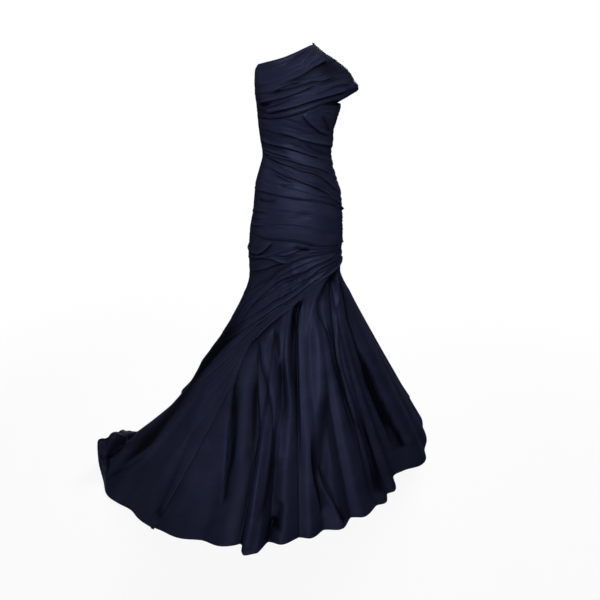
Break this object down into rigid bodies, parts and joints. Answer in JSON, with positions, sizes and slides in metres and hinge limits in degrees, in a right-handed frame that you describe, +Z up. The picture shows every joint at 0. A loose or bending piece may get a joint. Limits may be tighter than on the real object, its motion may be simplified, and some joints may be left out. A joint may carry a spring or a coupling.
{
  "type": "mermaid gown",
  "caption": "One-shoulder mermaid gown in draped navy taffeta, with a cap sleeve, a ruched sheath, a pleated swag across the hips and a fluted skirt with a train.",
  "frame": {"origin": "on the inside of the wearer's left shoulder seam, where the gown hangs from the shoulder, 1.463 m above the hem", "axes": "+Z up, the gown's front faces -Y, and +X is the wearer's left"},
  "size_m": [1.2499, 1.4935, 1.5138],
  "materials": {
    "navy_taffeta": "low satin sheen"
  },
  "bodies": {
    "root": {"shoulder_drape_front": "navy_taffeta", "shoulder_drape_back": "navy_taffeta", "bodice_front": "navy_taffeta", "bodice_back": "navy_taffeta", "hip_wrap_front": "navy_taffeta", "hip_wrap_back": "navy_taffeta", "thigh_wrap_front": "navy_taffeta", "swag_panel": "navy_taffeta", "skirt_front_left": "navy_taffeta", "skirt_front_right": "navy_taffeta", "skirt_back_side_left": "navy_taffeta", "skirt_train_left": "navy_taffeta", "skirt_train_right": "navy_taffeta", "skirt_back_side_right": "navy_taffeta"}
  },
  "joints": []
}
